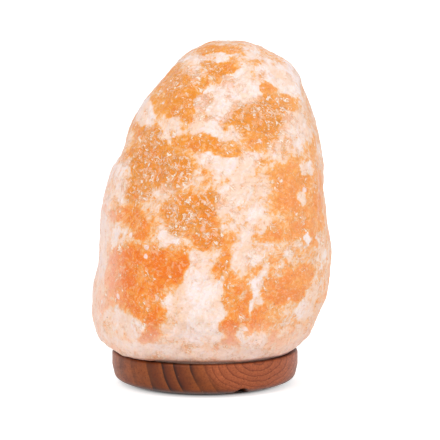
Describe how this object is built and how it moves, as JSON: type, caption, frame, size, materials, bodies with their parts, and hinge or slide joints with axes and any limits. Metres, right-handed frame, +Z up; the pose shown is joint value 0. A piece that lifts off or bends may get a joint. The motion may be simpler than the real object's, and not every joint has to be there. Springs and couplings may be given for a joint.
{
  "type": "salt crystal lamp",
  "caption": "Table lamp of one hollowed, rough-hewn rock salt crystal on a round wooden base, lit by a screw bulb in a clip-in holder from below.",
  "frame": {"origin": "on the table, under the middle of the round wooden base", "axes": "+Z up, -Y the front as in the picture, +X to the right as seen from the front"},
  "size_m": [0.1418, 0.1322, 0.203],
  "materials": {
    "salt": "rough-hewn translucent rock salt, orange with pale veins",
    "hardwood": "turned and oiled, satin, dark grain bands",
    "foot_rubber": "matte",
    "screw_steel": "zinc plated",
    "plug_nylon": "matte",
    "plate_steel": "zinc plated, satin",
    "spring_steel": "satin",
    "holder_phenolic": "moulded, semi-gloss",
    "contact_brass": "satin",
    "bulb_cap_metal": "rolled thread, satin",
    "bulb_bead": "black glass bead",
    "bulb_frosted": "frosted"
  },
  "bodies": {
    "root": {"wooden_base": "hardwood", "rubber_foot_1": "foot_rubber", "rubber_foot_2": "foot_rubber", "rubber_foot_3": "foot_rubber", "crystal_screws": "screw_steel", "wall_plugs": "plug_nylon", "salt_crystal": "salt"},
    "holder": {"clip_plate": "plate_steel", "clip_spring_1": "spring_steel", "clip_spring_2": "spring_steel", "clip_spring_3": "spring_steel", "holder_body": "holder_phenolic", "holder_cap": "holder_phenolic", "cord_bush": "holder_phenolic", "screw_shell": "contact_brass", "centre_contact": "contact_brass", "live_tag": "contact_brass", "neutral_tag": "contact_brass"},
    "bulb_tip": {"bulb_contact": "contact_brass"},
    "bulb": {"bulb_insulator": "bulb_bead", "bulb_cap": "bulb_cap_metal", "bulb_glass": "bulb_frosted"}
  },
  "joints": [
    {"name": "holder_pull", "type": "slide", "parent": "root", "child": "holder", "axis": [0, 0, -1], "range_m": [0, 0.085], "deforming": ["clip_spring_1", "clip_spring_2", "clip_spring_3"]},
    {"name": "bulb_rise", "type": "slide", "parent": "holder", "child": "bulb_tip", "axis": [0, 0, 1], "range_m": [0, 0.01138]},
    {"name": "bulb_turn", "type": "hinge", "parent": "bulb_tip", "child": "bulb", "pos_m": [0, 0, 0.0251], "axis": [0, 0, 1], "range_deg": [0, 1440]}
  ],
  "couplings": [
    {"joint": "bulb_rise", "follows": "bulb_turn", "m_per_rad": 0.00044882}
  ]
}
